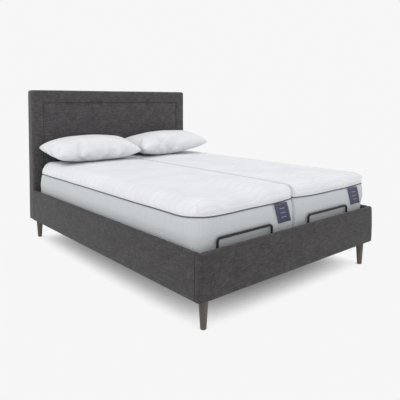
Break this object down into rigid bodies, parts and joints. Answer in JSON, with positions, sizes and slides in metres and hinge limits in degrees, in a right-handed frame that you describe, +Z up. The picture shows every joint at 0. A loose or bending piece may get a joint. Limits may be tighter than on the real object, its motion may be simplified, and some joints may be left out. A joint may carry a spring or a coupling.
{
  "type": "adjustable double bed",
  "caption": "Upholstered double bedstead with headboard, side-by-side power bases that lift head and legs, soft mattresses with retaining bars, and pillows.",
  "frame": {"origin": "centre of the bed's footprint, on the floor", "axes": "+Z up, -Y towards the foot of the bed, +Y towards the headboard, +X to the right of someone looking from the foot at the headboard"},
  "size_m": [1.592, 2.195, 1.223],
  "materials": {
    "upholstery": "matte",
    "timber": "satin",
    "leg_wood": "satin",
    "dark_steel": "satin",
    "bright_steel": "satin",
    "drive_plastic": "matte",
    "deck_board": "matte",
    "mattress_cover": "matte",
    "pillow_cotton": "matte"
  },
  "bodies": {
    "bedstead": {"headboard_board": "timber", "headboard_cover": "upholstery", "rail_boards": "timber", "left_rail_cover": "upholstery", "right_rail_cover": "upholstery", "foot_rail_cover": "upholstery", "foot_left_leg": "leg_wood", "foot_right_leg": "leg_wood", "head_left_leg": "leg_wood", "head_right_leg": "leg_wood", "corner_brackets": "dark_steel", "side_ledges": "dark_steel", "centre_rail": "dark_steel", "centre_feet": "dark_steel", "frame_bolts": "bright_steel", "control_box": "drive_plastic", "left_base_frame": "dark_steel", "left_seat_deck": "deck_board", "left_hinge_pins": "bright_steel", "left_mattress_seat": "mattress_cover", "left_hip_gusset": "mattress_cover", "left_thigh_gusset": "mattress_cover", "right_base_frame": "dark_steel", "right_seat_deck": "deck_board", "right_hinge_pins": "bright_steel", "right_mattress_seat": "mattress_cover", "right_hip_gusset": "mattress_cover", "right_thigh_gusset": "mattress_cover"},
    "left_head_section": {"left_head_frame": "dark_steel", "left_head_deck": "deck_board", "left_mattress_head": "mattress_cover", "left_pillow": "pillow_cotton"},
    "left_thigh_section": {"left_thigh_frame": "dark_steel", "left_thigh_deck": "deck_board", "left_knee_pins": "bright_steel", "left_mattress_thigh": "mattress_cover"},
    "left_foot_section": {"left_foot_frame": "dark_steel", "left_foot_deck": "deck_board", "left_retainer_bar": "dark_steel", "left_mattress_foot": "mattress_cover"},
    "left_head_drive": {"left_head_actuator": "drive_plastic"},
    "left_head_push_rod": {"left_head_rod": "bright_steel"},
    "left_thigh_drive": {"left_thigh_actuator": "drive_plastic"},
    "left_thigh_push_rod": {"left_thigh_rod": "bright_steel"},
    "right_head_section": {"right_head_frame": "dark_steel", "right_head_deck": "deck_board", "right_mattress_head": "mattress_cover", "right_pillow": "pillow_cotton"},
    "right_thigh_section": {"right_thigh_frame": "dark_steel", "right_thigh_deck": "deck_board", "right_knee_pins": "bright_steel", "right_mattress_thigh": "mattress_cover"},
    "right_foot_section": {"right_foot_frame": "dark_steel", "right_foot_deck": "deck_board", "right_retainer_bar": "dark_steel", "right_mattress_foot": "mattress_cover"},
    "right_head_drive": {"right_head_actuator": "drive_plastic"},
    "right_head_push_rod": {"right_head_rod": "bright_steel"},
    "right_thigh_drive": {"right_thigh_actuator": "drive_plastic"},
    "right_thigh_push_rod": {"right_thigh_rod": "bright_steel"}
  },
  "joints": [
    {"name": "left_head_hinge", "type": "hinge", "parent": "bedstead", "child": "left_head_section", "pos_m": [-0.377, 0.195, 0.33], "axis": [1, 0, 0], "range_deg": [0, 60], "deforming": ["left_hip_gusset"]},
    {"name": "left_thigh_hinge", "type": "hinge", "parent": "bedstead", "child": "left_thigh_section", "pos_m": [-0.377, -0.095, 0.33], "axis": [-1, 0, 0], "range_deg": [0, 35], "deforming": ["left_thigh_gusset"]},
    {"name": "left_knee_hinge", "type": "hinge", "parent": "left_thigh_section", "child": "left_foot_section", "pos_m": [-0.377, -0.425, 0.33], "axis": [-1, 0, 0], "range_deg": [-50, 0]},
    {"name": "left_head_drive_swing", "type": "hinge", "parent": "bedstead", "child": "left_head_drive", "pos_m": [-0.287, -0.25, 0.24808], "axis": [-1, 0, 0], "range_deg": [0, 1.2]},
    {"name": "left_head_drive_stroke", "type": "slide", "parent": "left_head_drive", "child": "left_head_push_rod", "axis": [0, 1, 0], "range_m": [0, 0.101]},
    {"name": "left_thigh_drive_swing", "type": "hinge", "parent": "bedstead", "child": "left_thigh_drive", "pos_m": [-0.467, 0.33, 0.23603], "axis": [1, 0, 0], "range_deg": [0, 0.5]},
    {"name": "left_thigh_drive_stroke", "type": "slide", "parent": "left_thigh_drive", "child": "left_thigh_push_rod", "axis": [0, -1, 0], "range_m": [0, 0.062]},
    {"name": "right_head_hinge", "type": "hinge", "parent": "bedstead", "child": "right_head_section", "pos_m": [0.377, 0.195, 0.33], "axis": [1, 0, 0], "range_deg": [0, 60], "deforming": ["right_hip_gusset"]},
    {"name": "right_thigh_hinge", "type": "hinge", "parent": "bedstead", "child": "right_thigh_section", "pos_m": [0.377, -0.095, 0.33], "axis": [-1, 0, 0], "range_deg": [0, 35], "deforming": ["right_thigh_gusset"]},
    {"name": "right_knee_hinge", "type": "hinge", "parent": "right_thigh_section", "child": "right_foot_section", "pos_m": [0.377, -0.425, 0.33], "axis": [-1, 0, 0], "range_deg": [-50, 0]},
    {"name": "right_head_drive_swing", "type": "hinge", "parent": "bedstead", "child": "right_head_drive", "pos_m": [0.467, -0.25, 0.24808], "axis": [-1, 0, 0], "range_deg": [0, 1.2]},
    {"name": "right_head_drive_stroke", "type": "slide", "parent": "right_head_drive", "child": "right_head_push_rod", "axis": [0, 1, 0], "range_m": [0, 0.101]},
    {"name": "right_thigh_drive_swing", "type": "hinge", "parent": "bedstead", "child": "right_thigh_drive", "pos_m": [0.287, 0.33, 0.23603], "axis": [1, 0, 0], "range_deg": [0, 0.5]},
    {"name": "right_thigh_drive_stroke", "type": "slide", "parent": "right_thigh_drive", "child": "right_thigh_push_rod", "axis": [0, -1, 0], "range_m": [0, 0.062]}
  ],
  "couplings": [
    {"joint": "left_knee_hinge", "follows": "left_thigh_hinge", "ratio": -1.42},
    {"joint": "left_head_drive_swing", "follows": "left_head_hinge", "ratio": 0.01708},
    {"joint": "left_head_drive_stroke", "follows": "left_head_hinge", "m_per_rad": 0.0952},
    {"joint": "left_thigh_drive_swing", "follows": "left_thigh_hinge", "ratio": 0.00952},
    {"joint": "left_thigh_drive_stroke", "follows": "left_thigh_hinge", "m_per_rad": 0.09837},
    {"joint": "right_knee_hinge", "follows": "right_thigh_hinge", "ratio": -1.42},
    {"joint": "right_head_drive_swing", "follows": "right_head_hinge", "ratio": 0.01708},
    {"joint": "right_head_drive_stroke", "follows": "right_head_hinge", "m_per_rad": 0.0952},
    {"joint": "right_thigh_drive_swing", "follows": "right_thigh_hinge", "ratio": 0.00952},
    {"joint": "right_thigh_drive_stroke", "follows": "right_thigh_hinge", "m_per_rad": 0.09837}
  ]
}
